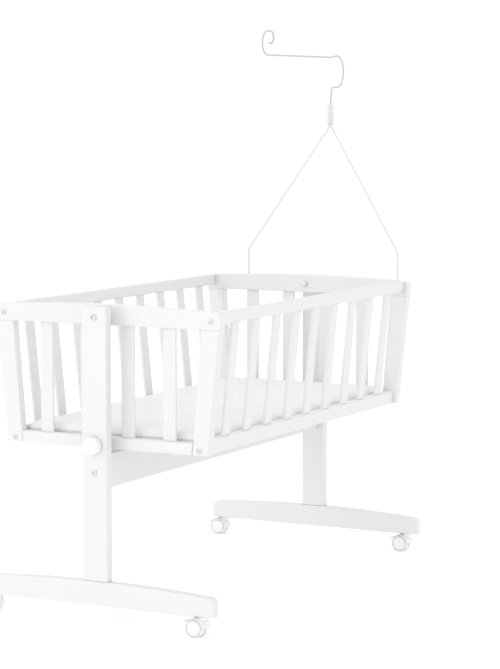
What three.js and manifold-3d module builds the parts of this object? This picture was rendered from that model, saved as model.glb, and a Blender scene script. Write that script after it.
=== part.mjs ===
// A swinging wooden cradle: a slatted crib hung between two posts on a castored stand,
// with a removable bent-wire holder for a fabric canopy.
//
// Millimetres. +Z is up, the floor is z = 0 and the crib's length runs along X.
// The lock end of the stand is at -X and the canopy end at +X; right is -Y and left is +Y.

import * as THREE from "three";
import { mergeVertices } from "three/addons/utils/BufferGeometryUtils.js";
import Module from "manifold-3d";

const wasm = await Module();
wasm.setup();

// ---- driving dimensions ----------------------------------------------------------------

const GAP = 0.3; // left between pieces that touch
const BORE_GAP = 0.3; // radial clearance of a bolt, pin or wire in its hole

const CRIB_LENGTH = 960; // over the two end panels
const CRIB_BOTTOM = 363; // height of the crib's underside
const CRIB_TOP = 655; // height of the end rails at their ends
const CRIB_HALF_BOTTOM = 241.5; // half the crib's width at its underside
const CRIB_HALF_TOP = 271; // half the crib's width at CRIB_TOP
const END_THICKNESS = 22;

const END_RAIL_BOTTOM = 620;
const END_RAIL_RISE = 8; // how much the end rail's arch rises above its ends
const END_RAIL_CORNER = 9;
const STILE_INNER_TOP = 224; // half the clear width between the stiles, top and bottom
const STILE_INNER_BOTTOM = 203;
const END_BOTTOM_RAIL = 25; // height of the rail between the stiles
const END_SLATS = 4;
const END_SLAT_PITCH = 98;

const SIDE_INSET = 10; // the side panels' outer face lies this far inside the end panels' edge
const SIDE_THICKNESS = 16;
const SIDE_TOP_RAIL = 26;
const SIDE_BOTTOM_RAIL = 30;
const SIDE_SLATS = 9;
const SIDE_SLAT_PITCH = 95;

const SLAT_WIDTH = 31;
const SLAT_THICKNESS = 7;
const SLAT_ROUND = 2.2;

const BASE_BOARD = { half: 215.5, bottom: 368, thickness: 6 };
const MATTRESS = { length: 900, width: 400, top: 404, corner: 45, edge: 8 };

const STAND_LENGTH = 1050; // over the two posts
const STAND_THICKNESS = 22; // of the posts and the floor beams
const POST_WIDTH = 58;
const POST_TOP = 661;
const POST_CORNER = 9;
const BEAM = { length: 555, bottom: 42.5, endTop: 83, middleTop: 92.6, corner: 12 };
const STRETCHER = { bottom: 283, top: 355, thickness: 26, round: 3 };

const PIVOT_HEIGHT = 640;
const LOCK_HEIGHT = 376;
const STRETCHER_BOLT_HEIGHT = 319;
const PIVOT_RADIUS = 4;
const LOCK_RADIUS = 4;
const STRETCHER_BOLT = { radius: 3, depth: 45, head: 6.5 };
const SPACER_RADIUS = 10;
const BOLT_HEAD = { radius: 7, height: 4.5 };
const CAP_NUT = { radius: 7, height: 9 };
const KNOB = { radius: 18, face: 545, back: 531, collar: 8, round: 4 };

const CASTER_Y = 248; // the swivel axes stand at this distance either side of the middle
const CASTER = {
  trail: 14, // from the swivel axis to the axle, towards +Y at rest
  wheel: 19,
  wheelInner: 3.3,
  wheelOuter: 18,
  axle: 2,
  web: 2.9,
  hoodInner: 19.8,
  hoodOuter: 21.4,
  hoodHalfWidth: 17.5,
  hoodFrom: 55, // degrees above +Y, seen from the axle
  hoodTo: 182,
  stem: 4,
  stemTop: 66,
  collar: 7,
};
const BRAKE = { angle: 32, reach: 23.4, hub: 2.4, pin: 1, cheek: 6.2, tip: 46, half: 9 };

const WIRE = 2; // radius of the canopy holder's wire
const CANOPY = {
  leftProng: 158,
  rightProng: -238,
  prongBottom: 634,
  shoulder: 722, // where the upright prongs bend inwards
  apex: -61,
  sleeveBottom: 1025,
  sleeveTop: 1070,
  sleeveRadius: 7.5,
  legTurn: 3,
  legTop: 1046,
  hookBottom: 1053,
  bulgeHeight: 1111.5,
  neckLean: 5, // how far the rod leans out between the sleeve and its first bend
  neckBend: 8,
  bulge: 37.5,
  bulgeShift: 34, // from the sleeve's axis to the middle of the bulge
  armDip: 4, // the level arm lies this much under the top of the bulge
  dipLength: 30,
  armLength: 330,
  curl: 27,
  curlEnd: 14,
  curlShift: 15, // from the middle of the large curl to that of its small end
};

// ---- derived places --------------------------------------------------------------------

const END_OUTER = CRIB_LENGTH / 2;
const END_INNER = END_OUTER - END_THICKNESS;
const POST_OUTER = STAND_LENGTH / 2;
const POST_INNER = POST_OUTER - STAND_THICKNESS;
const BEAM_MIDDLE = (POST_OUTER + POST_INNER) / 2;
const SPLAY = Math.atan((CRIB_HALF_TOP - CRIB_HALF_BOTTOM) / (CRIB_TOP - CRIB_BOTTOM));
const CANOPY_X = END_OUTER - END_THICKNESS / 2;

const halfWidthAt = (z) => CRIB_HALF_BOTTOM + (z - CRIB_BOTTOM) * Math.tan(SPLAY);

// ---- materials -------------------------------------------------------------------------

const paint = (color, roughness, metalness = 0) => () =>
  new THREE.MeshStandardMaterial({ color, roughness, metalness });

const whitePaint = paint(0xf5f4f4, 0.45);
const boardPaint = paint(0xecebea, 0.6);
const ticking = paint(0xe8e9ee, 0.9);
const whitePlastic = paint(0xf7f7f7, 0.35);
const greyPlastic = paint(0xc9ced6, 0.4);
const zinc = paint(0x9a9c9f, 0.35, 0.9);
const whiteWire = paint(0xe6e8ea, 0.35, 0.2);

// ---- helpers ---------------------------------------------------------------------------

const X_AXIS = new THREE.Vector3(1, 0, 0);
const Y_AXIS = new THREE.Vector3(0, 1, 0);
const Z_AXIS = new THREE.Vector3(0, 0, 1);

const bed = new THREE.Group();

function add(name, geometry, material, parent = bed) {
  const mesh = new THREE.Mesh(geometry, material());
  mesh.name = name;
  parent.add(mesh);
  return mesh;
}

// A closed three.js geometry as a solid that can be joined and cut.
function toSolid(geometry) {
  const bare = geometry.clone();
  bare.deleteAttribute("normal");
  bare.deleteAttribute("uv");
  const merged = mergeVertices(bare, 1e-4);
  return new wasm.Manifold(
    new wasm.Mesh({
      numProp: 3,
      vertProperties: Float32Array.from(merged.attributes.position.array),
      triVerts: Uint32Array.from(merged.index.array),
    }),
  );
}

function toGeometry(solid) {
  const mesh = solid.getMesh();
  const geometry = new THREE.BufferGeometry();
  geometry.setAttribute("position", new THREE.BufferAttribute(mesh.vertProperties, 3));
  geometry.setIndex(new THREE.BufferAttribute(mesh.triVerts, 1));
  geometry.computeVertexNormals();
  return geometry;
}

const join = (...geometries) =>
  toGeometry(geometries.map(toSolid).reduce((sum, next) => sum.add(next)));

const cut = (geometry, ...tools) =>
  toGeometry(tools.map(toSolid).reduce((rest, tool) => rest.subtract(tool), toSolid(geometry)));

// Extrudes a shape drawn in Y and Z from x = from to x = to.
function alongX(shape, from, to, bevel = 0, curveSegments = 2) {
  const geometry = new THREE.ExtrudeGeometry(shape, {
    depth: to - from - 2 * bevel,
    bevelEnabled: bevel > 0,
    bevelThickness: bevel,
    bevelSize: bevel,
    bevelOffset: -bevel,
    bevelSegments: 2,
    curveSegments,
  });
  geometry.applyMatrix4(new THREE.Matrix4().makeBasis(Y_AXIS, Z_AXIS, X_AXIS));
  return geometry.translate(from + bevel, 0, 0);
}

// Extrudes a shape drawn in X and Y from z = from to z = to.
function alongZ(shape, from, to, bevel = 0, curveSegments = 1) {
  const geometry = new THREE.ExtrudeGeometry(shape, {
    depth: to - from - 2 * bevel,
    bevelEnabled: bevel > 0,
    bevelThickness: bevel,
    bevelSize: bevel,
    bevelOffset: -bevel,
    bevelSegments: 3,
    curveSegments,
  });
  return geometry.translate(0, 0, from + bevel);
}

function box(x0, x1, y0, y1, z0, z1) {
  const geometry = new THREE.BoxGeometry(x1 - x0, y1 - y0, z1 - z0);
  return geometry.translate((x0 + x1) / 2, (y0 + y1) / 2, (z0 + z1) / 2);
}

// A rod along X, standing at (y, z).
function rodX(radius, x0, x1, y, z, sides = 20) {
  const geometry = new THREE.CylinderGeometry(radius, radius, x1 - x0, sides);
  return geometry.rotateZ(-Math.PI / 2).translate((x0 + x1) / 2, y, z);
}

function rodZ(radius, z0, z1, x, y, sides = 20) {
  const geometry = new THREE.CylinderGeometry(radius, radius, z1 - z0, sides);
  return geometry.rotateX(Math.PI / 2).translate(x, y, (z0 + z1) / 2);
}

// A solid of revolution about X from [radius, x] pairs that start and end on the axis.
function turnedX(profile, sides = 28) {
  const points = profile.map(([radius, x]) => new THREE.Vector2(radius, x));
  return new THREE.LatheGeometry(points, sides).rotateZ(-Math.PI / 2);
}

function roundedRect(x0, x1, y0, y1, r) {
  const shape = new THREE.Shape();
  shape.moveTo(x0 + r, y0);
  shape.lineTo(x1 - r, y0);
  shape.absarc(x1 - r, y0 + r, r, -Math.PI / 2, 0);
  shape.lineTo(x1, y1 - r);
  shape.absarc(x1 - r, y1 - r, r, 0, Math.PI / 2);
  shape.lineTo(x0 + r, y1);
  shape.absarc(x0 + r, y1 - r, r, Math.PI / 2, Math.PI);
  shape.lineTo(x0, y0 + r);
  shape.absarc(x0 + r, y0 + r, r, Math.PI, 1.5 * Math.PI);
  return shape;
}

// A route through given points; a tube along it has one ring at each point.
class Route extends THREE.Curve {
  constructor(points) {
    super();
    this.points = points;
  }
  getPoint(t, target = new THREE.Vector3()) {
    const last = this.points.length - 1;
    const place = Math.min(Math.max(t, 0), 1) * last;
    const index = Math.min(Math.floor(place), last - 1);
    return target.lerpVectors(this.points[index], this.points[index + 1], place - index);
  }
  getPointAt(u, target) {
    return this.getPoint(u, target);
  }
  getTangentAt(u, target) {
    return this.getTangent(u, target);
  }
}

function wire(points) {
  const circle = new THREE.Shape();
  circle.absarc(0, 0, WIRE, 0, 2 * Math.PI);
  return new THREE.ExtrudeGeometry(circle, {
    extrudePath: new Route(points),
    steps: points.length - 1,
    curveSegments: 4,
    bevelEnabled: false,
  });
}

// Points on a circular arc in the plane of two unit directions.
function arc(centre, u, v, radius, from, to, count) {
  return Array.from({ length: count }, (_, i) => {
    const angle = THREE.MathUtils.degToRad(from + ((to - from) * i) / (count - 1));
    return centre
      .clone()
      .addScaledVector(u, radius * Math.cos(angle))
      .addScaledVector(v, radius * Math.sin(angle));
  });
}

// Mirrors a geometry end for end and keeps its faces pointing out.
function mirroredX(geometry) {
  const solid = toSolid(geometry).mirror([1, 0, 0]);
  return toGeometry(solid);
}

const ENDS = [
  { name: "lock", sign: -1 },
  { name: "canopy", sign: 1 },
];
const SIDES = [
  { name: "right", sign: -1 },
  { name: "left", sign: 1 },
];

// ---- the stand -------------------------------------------------------------------------

function post(sign) {
  const half = POST_WIDTH / 2;
  const outline = new THREE.Shape();
  outline.moveTo(-half, BEAM.middleTop + GAP);
  outline.lineTo(half, BEAM.middleTop + GAP);
  outline.lineTo(half, POST_TOP - POST_CORNER);
  outline.absarc(half - POST_CORNER, POST_TOP - POST_CORNER, POST_CORNER, 0, Math.PI / 2);
  outline.lineTo(-half + POST_CORNER, POST_TOP);
  outline.absarc(-half + POST_CORNER, POST_TOP - POST_CORNER, POST_CORNER, Math.PI / 2, Math.PI);
  const blank = alongX(outline, POST_INNER, POST_OUTER, 2);
  const hole = (radius, z) => rodX(radius, POST_INNER - 5, POST_OUTER + 5, 0, z);
  const bores = [
    hole(PIVOT_RADIUS + BORE_GAP, PIVOT_HEIGHT),
    hole(STRETCHER_BOLT.radius + BORE_GAP, STRETCHER_BOLT_HEIGHT),
  ];
  if (sign < 0) bores.push(hole(LOCK_RADIUS + BORE_GAP, LOCK_HEIGHT));
  return cut(blank, ...bores);
}

function floorBeam() {
  const half = BEAM.length / 2;
  const r = BEAM.corner;
  const shoulder = BEAM.endTop - r;
  const outline = new THREE.Shape();
  outline.moveTo(-half + 3, BEAM.bottom);
  outline.lineTo(half - 3, BEAM.bottom);
  outline.lineTo(half, BEAM.bottom + 3);
  outline.lineTo(half, shoulder);
  outline.absarc(half - r, shoulder, r, 0, 0.42 * Math.PI);
  outline.quadraticCurveTo(half / 2, BEAM.middleTop, 0, BEAM.middleTop);
  outline.quadraticCurveTo(
    -half / 2, BEAM.middleTop,
    -half + r - r * Math.cos(0.42 * Math.PI), shoulder + r * Math.sin(0.42 * Math.PI),
  );
  outline.absarc(-half + r, shoulder, r, 0.58 * Math.PI, Math.PI);
  outline.lineTo(-half, BEAM.bottom + 3);
  const blank = alongX(outline, POST_INNER, POST_OUTER, 2);
  const depth = CASTER.stemTop + 2;
  const sockets = SIDES.map(({ sign }) =>
    rodZ(CASTER.stem + BORE_GAP, BEAM.bottom - 5, depth, BEAM_MIDDLE, sign * CASTER_Y),
  );
  return cut(blank, ...sockets);
}

function stretcher() {
  const half = STRETCHER.thickness / 2;
  const end = POST_INNER - GAP;
  const section = roundedRect(-half, half, STRETCHER.bottom, STRETCHER.top, STRETCHER.round);
  const bores = ENDS.map(({ sign }) => {
    const inner = sign * (end - STRETCHER_BOLT.depth - 3);
    const outer = sign * (end + 5);
    const radius = STRETCHER_BOLT.radius + BORE_GAP;
    return rodX(radius, Math.min(inner, outer), Math.max(inner, outer), 0, STRETCHER_BOLT_HEIGHT);
  });
  return cut(alongX(section, -end, end), ...bores);
}

// The pivot bolt of one end: head outside the post, cap nut inside the crib.
function pivotBolt() {
  const head = POST_OUTER + GAP;
  const nut = END_INNER - GAP;
  return turnedX([
    [0, nut - CAP_NUT.height],
    [CAP_NUT.radius * 0.7, nut - CAP_NUT.height + 1],
    [CAP_NUT.radius, nut - CAP_NUT.height / 2],
    [CAP_NUT.radius, nut],
    [PIVOT_RADIUS, nut],
    [PIVOT_RADIUS, head],
    [BOLT_HEAD.radius, head],
    [BOLT_HEAD.radius, head + BOLT_HEAD.height * 0.4],
    [BOLT_HEAD.radius * 0.6, head + BOLT_HEAD.height],
    [0, head + BOLT_HEAD.height],
  ], 24).translate(0, 0, PIVOT_HEIGHT);
}

function stretcherBolt() {
  const head = POST_OUTER + GAP;
  return turnedX([
    [0, POST_INNER - STRETCHER_BOLT.depth],
    [STRETCHER_BOLT.radius, POST_INNER - STRETCHER_BOLT.depth],
    [STRETCHER_BOLT.radius, head],
    [STRETCHER_BOLT.head, head],
    [STRETCHER_BOLT.head, head + 2],
    [STRETCHER_BOLT.head * 0.6, head + 3.5],
    [0, head + 3.5],
  ], 20).translate(0, 0, STRETCHER_BOLT_HEIGHT);
}

function pivotSpacer() {
  const ring = new THREE.Shape();
  ring.absarc(0, PIVOT_HEIGHT, SPACER_RADIUS, 0, 2 * Math.PI);
  const bore = new THREE.Path();
  bore.absarc(0, PIVOT_HEIGHT, PIVOT_RADIUS + BORE_GAP, 0, 2 * Math.PI);
  ring.holes.push(bore);
  return alongX(ring, END_OUTER + GAP, POST_INNER - GAP, 0, 10);
}

// The knob of the lock end; its pin runs through the post to the crib's end rail.
function lockKnob() {
  const { radius, face, back, collar, round } = KNOB;
  return turnedX([
    [0, -face],
    [radius - round * 1.8, -face],
    [radius - round * 0.6, -face + round * 0.35],
    [radius, -face + round * 1.2],
    [radius, -back - round * 0.6],
    [radius - round * 0.5, -back],
    [collar, -back],
    [collar, -POST_OUTER - GAP],
    [LOCK_RADIUS, -POST_OUTER - GAP],
    [LOCK_RADIUS, -END_OUTER - GAP - 1.5],
    [LOCK_RADIUS - 1.5, -END_OUTER - GAP],
    [0, -END_OUTER - GAP],
  ], 26).translate(0, 0, LOCK_HEIGHT);
}

function buildStand() {
  for (const { name, sign } of ENDS) {
    const place = (geometry) => (sign < 0 ? mirroredX(geometry) : geometry);
    add(`post_${name}_end`, place(post(sign)), whitePaint);
    add(`floor_beam_${name}_end`, place(floorBeam()), whitePaint);
    add(`pivot_bolt_${name}_end`, place(pivotBolt()), zinc);
    add(`pivot_spacer_${name}_end`, place(pivotSpacer()), whitePlastic);
    add(`stretcher_bolt_${name}_end`, place(stretcherBolt()), zinc);
  }
  add("stretcher", stretcher(), whitePaint);
  add("lock_knob", lockKnob(), whitePlastic);
}

// ---- the casters -----------------------------------------------------------------------

// Each is drawn with its swivel axis on the z axis and its axle along X.

function casterFork() {
  const { trail, wheel, hoodInner, hoodOuter, hoodHalfWidth, stem, stemTop } = CASTER;
  const from = THREE.MathUtils.degToRad(CASTER.hoodFrom);
  const to = THREE.MathUtils.degToRad(CASTER.hoodTo);

  const hood = new THREE.Shape();
  hood.absarc(trail, wheel, hoodOuter, from, to);
  hood.absarc(trail, wheel, hoodInner, to, from, true);

  const web = new THREE.Shape();
  web.absarc(trail, wheel, hoodOuter - 0.4, from, to);
  web.lineTo(trail - 9, wheel - 7);
  web.absarc(trail, wheel, 8, 1.3 * Math.PI, 2 * Math.PI);

  const [hubY, hubZ] = brakeHub();
  const ear = rodX(BRAKE.hub, -CASTER.web, CASTER.web, hubY, hubZ, 16);
  const arm = new THREE.Shape();
  arm.moveTo(trail + 6, wheel + 4);
  arm.lineTo(hubY + 1, hubZ - 2);
  arm.lineTo(hubY - 1.5, hubZ + 1.8);
  arm.lineTo(trail + 8, wheel + 17);

  const top = BEAM.bottom - GAP;
  const clearance = rodX(hoodInner, -30, 30, trail, wheel, 36);
  const collar = cut(rodZ(CASTER.collar, wheel + 8, top, 0, 0), clearance);
  const body = join(
    alongX(hood, -hoodHalfWidth, hoodHalfWidth, 0, 7),
    alongX(web, -CASTER.web, CASTER.web, 0, 6),
    alongX(arm, -CASTER.web, CASTER.web),
    ear,
    collar,
    rodZ(stem, top - 2, stemTop, 0, 0),
  );
  const axleBore = rodX(CASTER.axle + BORE_GAP, -10, 10, trail, wheel, 20);
  const pinBore = rodX(BRAKE.pin + BORE_GAP, -10, 10, hubY, hubZ, 12);
  return cut(body, axleBore, pinBore);
}

function casterWheels() {
  const { wheel, wheelInner, wheelOuter, axle, trail } = CASTER;
  return turnedX([
    [0, -wheelOuter],
    [wheel - 3, -wheelOuter],
    [wheel - 0.8, -wheelOuter + 1],
    [wheel, -wheelOuter + 3],
    [wheel, -wheelInner - 1],
    [wheel - 1, -wheelInner],
    [axle, -wheelInner],
    [axle, wheelInner],
    [wheel - 1, wheelInner],
    [wheel, wheelInner + 1],
    [wheel, wheelOuter - 3],
    [wheel - 0.8, wheelOuter - 1],
    [wheel - 3, wheelOuter],
    [0, wheelOuter],
  ], 26).translate(0, trail, wheel);
}

function brakeHub() {
  const angle = THREE.MathUtils.degToRad(BRAKE.angle);
  return [
    CASTER.trail + BRAKE.reach * Math.cos(angle),
    CASTER.wheel + BRAKE.reach * Math.sin(angle),
  ];
}

function casterBrake() {
  const [y, z] = brakeHub();
  const { hub, pin, cheek, tip, half } = BRAKE;
  const inner = CASTER.web + GAP;
  const front = y + hub + 0.6;
  return join(
    rodX(hub, inner, cheek, y, z, 16),
    rodX(hub, -cheek, -inner, y, z, 16),
    rodX(pin, -cheek + 1, cheek - 1, y, z, 12),
    box(inner, cheek, y, front + 1, z - 1.2, z + 1.2),
    box(-cheek, -inner, y, front + 1, z - 1.2, z + 1.2),
    alongZ(roundedRect(-half, half, front, tip, 1.6), z - 1.3, z + 1.3),
  );
}

function buildCasters() {
  for (const end of ENDS) {
    for (const side of SIDES) {
      const caster = new THREE.Group();
      caster.position.set(end.sign * BEAM_MIDDLE, side.sign * CASTER_Y, 0);
      bed.add(caster);
      const name = `caster_${end.name}_${side.name}`;
      add(`${name}_fork`, casterFork(), whitePlastic, caster);
      add(`${name}_wheels`, casterWheels(), whitePlastic, caster);
      add(`${name}_brake`, casterBrake(), whitePlastic, caster);
    }
  }
}

// ---- the crib's end panels --------------------------------------------------------------

function endTopRail() {
  const low = halfWidthAt(END_RAIL_BOTTOM);
  const high = halfWidthAt(CRIB_TOP - END_RAIL_CORNER);
  const crown = high - END_RAIL_CORNER;
  const outline = new THREE.Shape();
  outline.moveTo(-low, END_RAIL_BOTTOM);
  outline.lineTo(low, END_RAIL_BOTTOM);
  outline.lineTo(high, CRIB_TOP - END_RAIL_CORNER);
  outline.quadraticCurveTo(high + 0.5, CRIB_TOP, crown, CRIB_TOP);
  for (let i = 1; i < 12; i += 1) {
    const y = crown * (1 - i / 6);
    outline.lineTo(y, CRIB_TOP + END_RAIL_RISE * (1 - (y / crown) ** 2));
  }
  outline.lineTo(-crown, CRIB_TOP);
  outline.quadraticCurveTo(-high - 0.5, CRIB_TOP, -high, CRIB_TOP - END_RAIL_CORNER);
  return outline;
}

function canopySockets() {
  return [CANOPY.leftProng, CANOPY.rightProng].map((y) =>
    rodZ(WIRE + BORE_GAP, CANOPY.prongBottom - 2, CRIB_TOP + 20, CANOPY_X, y, 20),
  );
}

function stile(sign) {
  const top = END_RAIL_BOTTOM - GAP;
  const outline = new THREE.Shape();
  const corners = [
    [STILE_INNER_BOTTOM, CRIB_BOTTOM],
    [CRIB_HALF_BOTTOM - 3, CRIB_BOTTOM],
    [CRIB_HALF_BOTTOM, CRIB_BOTTOM + 3],
    [halfWidthAt(top), top],
    [STILE_INNER_TOP, top],
  ].map(([y, z]) => new THREE.Vector2(sign * y, z));
  outline.setFromPoints(sign > 0 ? corners : corners.reverse());
  return outline;
}

// The bottom rail of an end panel with its upright slats glued in.
function endComb() {
  const slope = (STILE_INNER_TOP - STILE_INNER_BOTTOM) / (END_RAIL_BOTTOM - CRIB_BOTTOM);
  const low = STILE_INNER_BOTTOM - GAP;
  const high = low + slope * END_BOTTOM_RAIL;
  const railTop = CRIB_BOTTOM + END_BOTTOM_RAIL;
  const rail = new THREE.Shape([
    new THREE.Vector2(-low, CRIB_BOTTOM),
    new THREE.Vector2(low, CRIB_BOTTOM),
    new THREE.Vector2(high, railTop),
    new THREE.Vector2(-high, railTop),
  ]);
  const middle = (END_OUTER + END_INNER) / 2;
  const slats = Array.from({ length: END_SLATS }, (_, i) => {
    const y = (i - (END_SLATS - 1) / 2) * END_SLAT_PITCH;
    const section = roundedRect(
      middle - SLAT_THICKNESS / 2, middle + SLAT_THICKNESS / 2,
      y - SLAT_WIDTH / 2, y + SLAT_WIDTH / 2,
      SLAT_ROUND,
    );
    return alongZ(section, railTop - 5, END_RAIL_BOTTOM - GAP);
  });
  return join(alongX(rail, END_INNER, END_OUTER, 1.5), ...slats);
}

function buildEndPanels() {
  for (const end of ENDS) {
    const place = (geometry) => (end.sign < 0 ? mirroredX(geometry) : geometry);
    const prefix = `end_${end.name}`;
    const pivot = rodX(
      PIVOT_RADIUS + BORE_GAP, END_INNER - 5, END_OUTER + 5, 0, PIVOT_HEIGHT,
    );
    const sockets = end.sign > 0 ? canopySockets() : [];
    const rail = cut(alongX(endTopRail(), END_INNER, END_OUTER, 2), pivot, ...sockets);
    add(`${prefix}_top_rail`, place(rail), whitePaint);
    for (const side of SIDES) {
      const upright = alongX(stile(side.sign), END_INNER, END_OUTER, 2);
      add(`${prefix}_${side.name}_stile`, place(upright), whitePaint);
    }
    add(`${prefix}_comb`, place(endComb()), whitePaint);
  }
}

// ---- the crib's side panels -------------------------------------------------------------

// Each side panel is drawn upright with its outer lower edge at the origin, then leans out.
function buildSidePanels() {
  const reach = END_INNER - GAP;
  const height = (CRIB_TOP - CRIB_BOTTOM) / Math.cos(SPLAY);
  for (const side of SIDES) {
    const panel = new THREE.Group();
    panel.position.set(0, side.sign * (CRIB_HALF_BOTTOM - SIDE_INSET), CRIB_BOTTOM);
    panel.rotation.x = -side.sign * SPLAY;
    bed.add(panel);
    const y0 = side.sign > 0 ? -SIDE_THICKNESS : 0;
    const y1 = y0 + SIDE_THICKNESS;
    const middle = (y0 + y1) / 2;
    const rail = (z0, z1, round) => alongX(roundedRect(y0, y1, z0, z1, round), -reach, reach);
    const prefix = `side_${side.name}`;
    add(`${prefix}_bottom_rail`, rail(0, SIDE_BOTTOM_RAIL, 2), whitePaint, panel);
    add(`${prefix}_top_rail`, rail(height - SIDE_TOP_RAIL, height, 4), whitePaint, panel);
    for (let i = 0; i < SIDE_SLATS; i += 1) {
      const x = (i - (SIDE_SLATS - 1) / 2) * SIDE_SLAT_PITCH;
      const section = roundedRect(
        x - SLAT_WIDTH / 2, x + SLAT_WIDTH / 2,
        middle - SLAT_THICKNESS / 2, middle + SLAT_THICKNESS / 2,
        SLAT_ROUND,
      );
      const slat = alongZ(section, SIDE_BOTTOM_RAIL + GAP, height - SIDE_TOP_RAIL - GAP);
      add(`${prefix}_slat_${i + 1}`, slat, whitePaint, panel);
    }
  }
}

// ---- the bed ---------------------------------------------------------------------------

function buildBedding() {
  const { half, bottom, thickness } = BASE_BOARD;
  const end = END_INNER - GAP;
  add("base_board", box(-end, end, -half, half, bottom, bottom + thickness), boardPaint);

  const { length, width, top, corner, edge } = MATTRESS;
  const outline = roundedRect(-length / 2, length / 2, -width / 2, width / 2, corner);
  const pad = alongZ(outline, bottom + thickness + GAP, top, edge, 3);
  add("mattress", pad, ticking);
}

// ---- the canopy holder -----------------------------------------------------------------

const at = (y, z) => new THREE.Vector3(CANOPY_X, y, z);

// One leg's route, from its prong up to the turn inside the sleeve.
function leg(prongY, turnY) {
  const { prongBottom, shoulder, sleeveBottom, legTop } = CANOPY;
  const lean = Math.sign(turnY - prongY);
  const bend = sleeveBottom - 8;
  const rise = bend - shoulder;
  const run = Math.abs(turnY - prongY);
  const slope = new THREE.Vector2(run, rise).normalize();
  return [
    at(prongY, prongBottom),
    at(prongY, shoulder - 14),
    at(prongY + lean * 0.6, shoulder - 6),
    at(prongY + lean * slope.x * 4, shoulder + slope.y * 4),
    at(turnY - lean * slope.x * 5, bend - slope.y * 5),
    at(turnY - lean * 0.9, bend + 1),
    at(turnY, sleeveBottom - 1),
    at(turnY, legTop - CANOPY.legTurn - 2),
  ];
}

function canopyFork() {
  const { leftProng, rightProng, apex, legTurn, legTop } = CANOPY;
  const turn = arc(at(apex, legTop - legTurn), Y_AXIS, Z_AXIS, legTurn, 0, 180, 9);
  return wire([
    ...leg(leftProng, apex + legTurn),
    ...turn,
    ...leg(rightProng, apex - legTurn).reverse(),
  ]);
}

function canopySleeve() {
  const { apex, sleeveBottom, sleeveTop, sleeveRadius, legTurn, hookBottom } = CANOPY;
  const half = legTurn + WIRE + 0.5;
  const slot = roundedRect(
    CANOPY_X - WIRE - BORE_GAP, CANOPY_X + WIRE + BORE_GAP,
    apex - half, apex + half, WIRE,
  );
  return cut(
    rodZ(sleeveRadius, sleeveBottom, sleeveTop, CANOPY_X, apex, 28),
    alongZ(slot, sleeveBottom - 5, CANOPY.legTop + WIRE + 1),
    rodZ(WIRE + BORE_GAP, hookBottom - 1, sleeveTop + 5, CANOPY_X, apex, 20),
  );
}

// The upper wire: a rod in the sleeve, a round bulge, a level arm over the crib and a curl.
function canopyHook() {
  const c = CANOPY;
  const place = (x, z) => new THREE.Vector3(CANOPY_X + x, c.apex, z);
  const bulgeTop = c.bulgeHeight + 2 * c.bulge;
  const armHeight = bulgeTop - c.armDip;
  const armEnd = -c.armLength;
  const neck = place(c.neckLean + c.neckBend, c.bulgeHeight - c.neckBend);
  // From the bulge down to the arm: half a cosine wave.
  const dip = [0.2, 0.4, 0.6, 0.8, 1].map((share) =>
    place(
      c.bulgeShift - c.dipLength * share,
      armHeight + (c.armDip * (1 + Math.cos(Math.PI * share))) / 2,
    ),
  );
  return wire([
    place(0, c.hookBottom),
    place(0, c.sleeveTop + 2),
    place(c.neckLean, c.bulgeHeight - c.neckBend - 2),
    ...arc(neck, X_AXIS, Z_AXIS, c.neckBend, 180, 90, 5),
    ...arc(place(c.bulgeShift, c.bulgeHeight + c.bulge), X_AXIS, Z_AXIS, c.bulge, -84, 90, 15),
    ...dip,
    place(armEnd + 20, armHeight),
    ...arc(place(armEnd, armHeight + c.curl), X_AXIS, Z_AXIS, c.curl, -90, -264, 13),
    ...arc(
      place(armEnd + c.curlShift, armHeight + 2 * c.curl - c.curlEnd),
      X_AXIS, Z_AXIS, c.curlEnd, 84, -120, 11,
    ),
  ]);
}

function buildCanopyHolder() {
  add("canopy_fork", canopyFork(), whiteWire);
  add("canopy_sleeve", canopySleeve(), greyPlastic);
  add("canopy_hook", canopyHook(), whiteWire);
}

buildStand();
buildCasters();
buildEndPanels();
buildSidePanels();
buildBedding();
buildCanopyHolder();

export default bed;
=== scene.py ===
# %% [markdown]
# # A swinging cradle on a castored stand
#
# A slatted wooden crib hangs between two posts on a stand with four casters. A thin mattress
# lies in it, and a bent steel wire over one end carries a canopy. The CAD model says where
# everything is. This script gives each piece its fine surface and its finish, one cell at a time.

# %% Load the frame
import math

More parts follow.
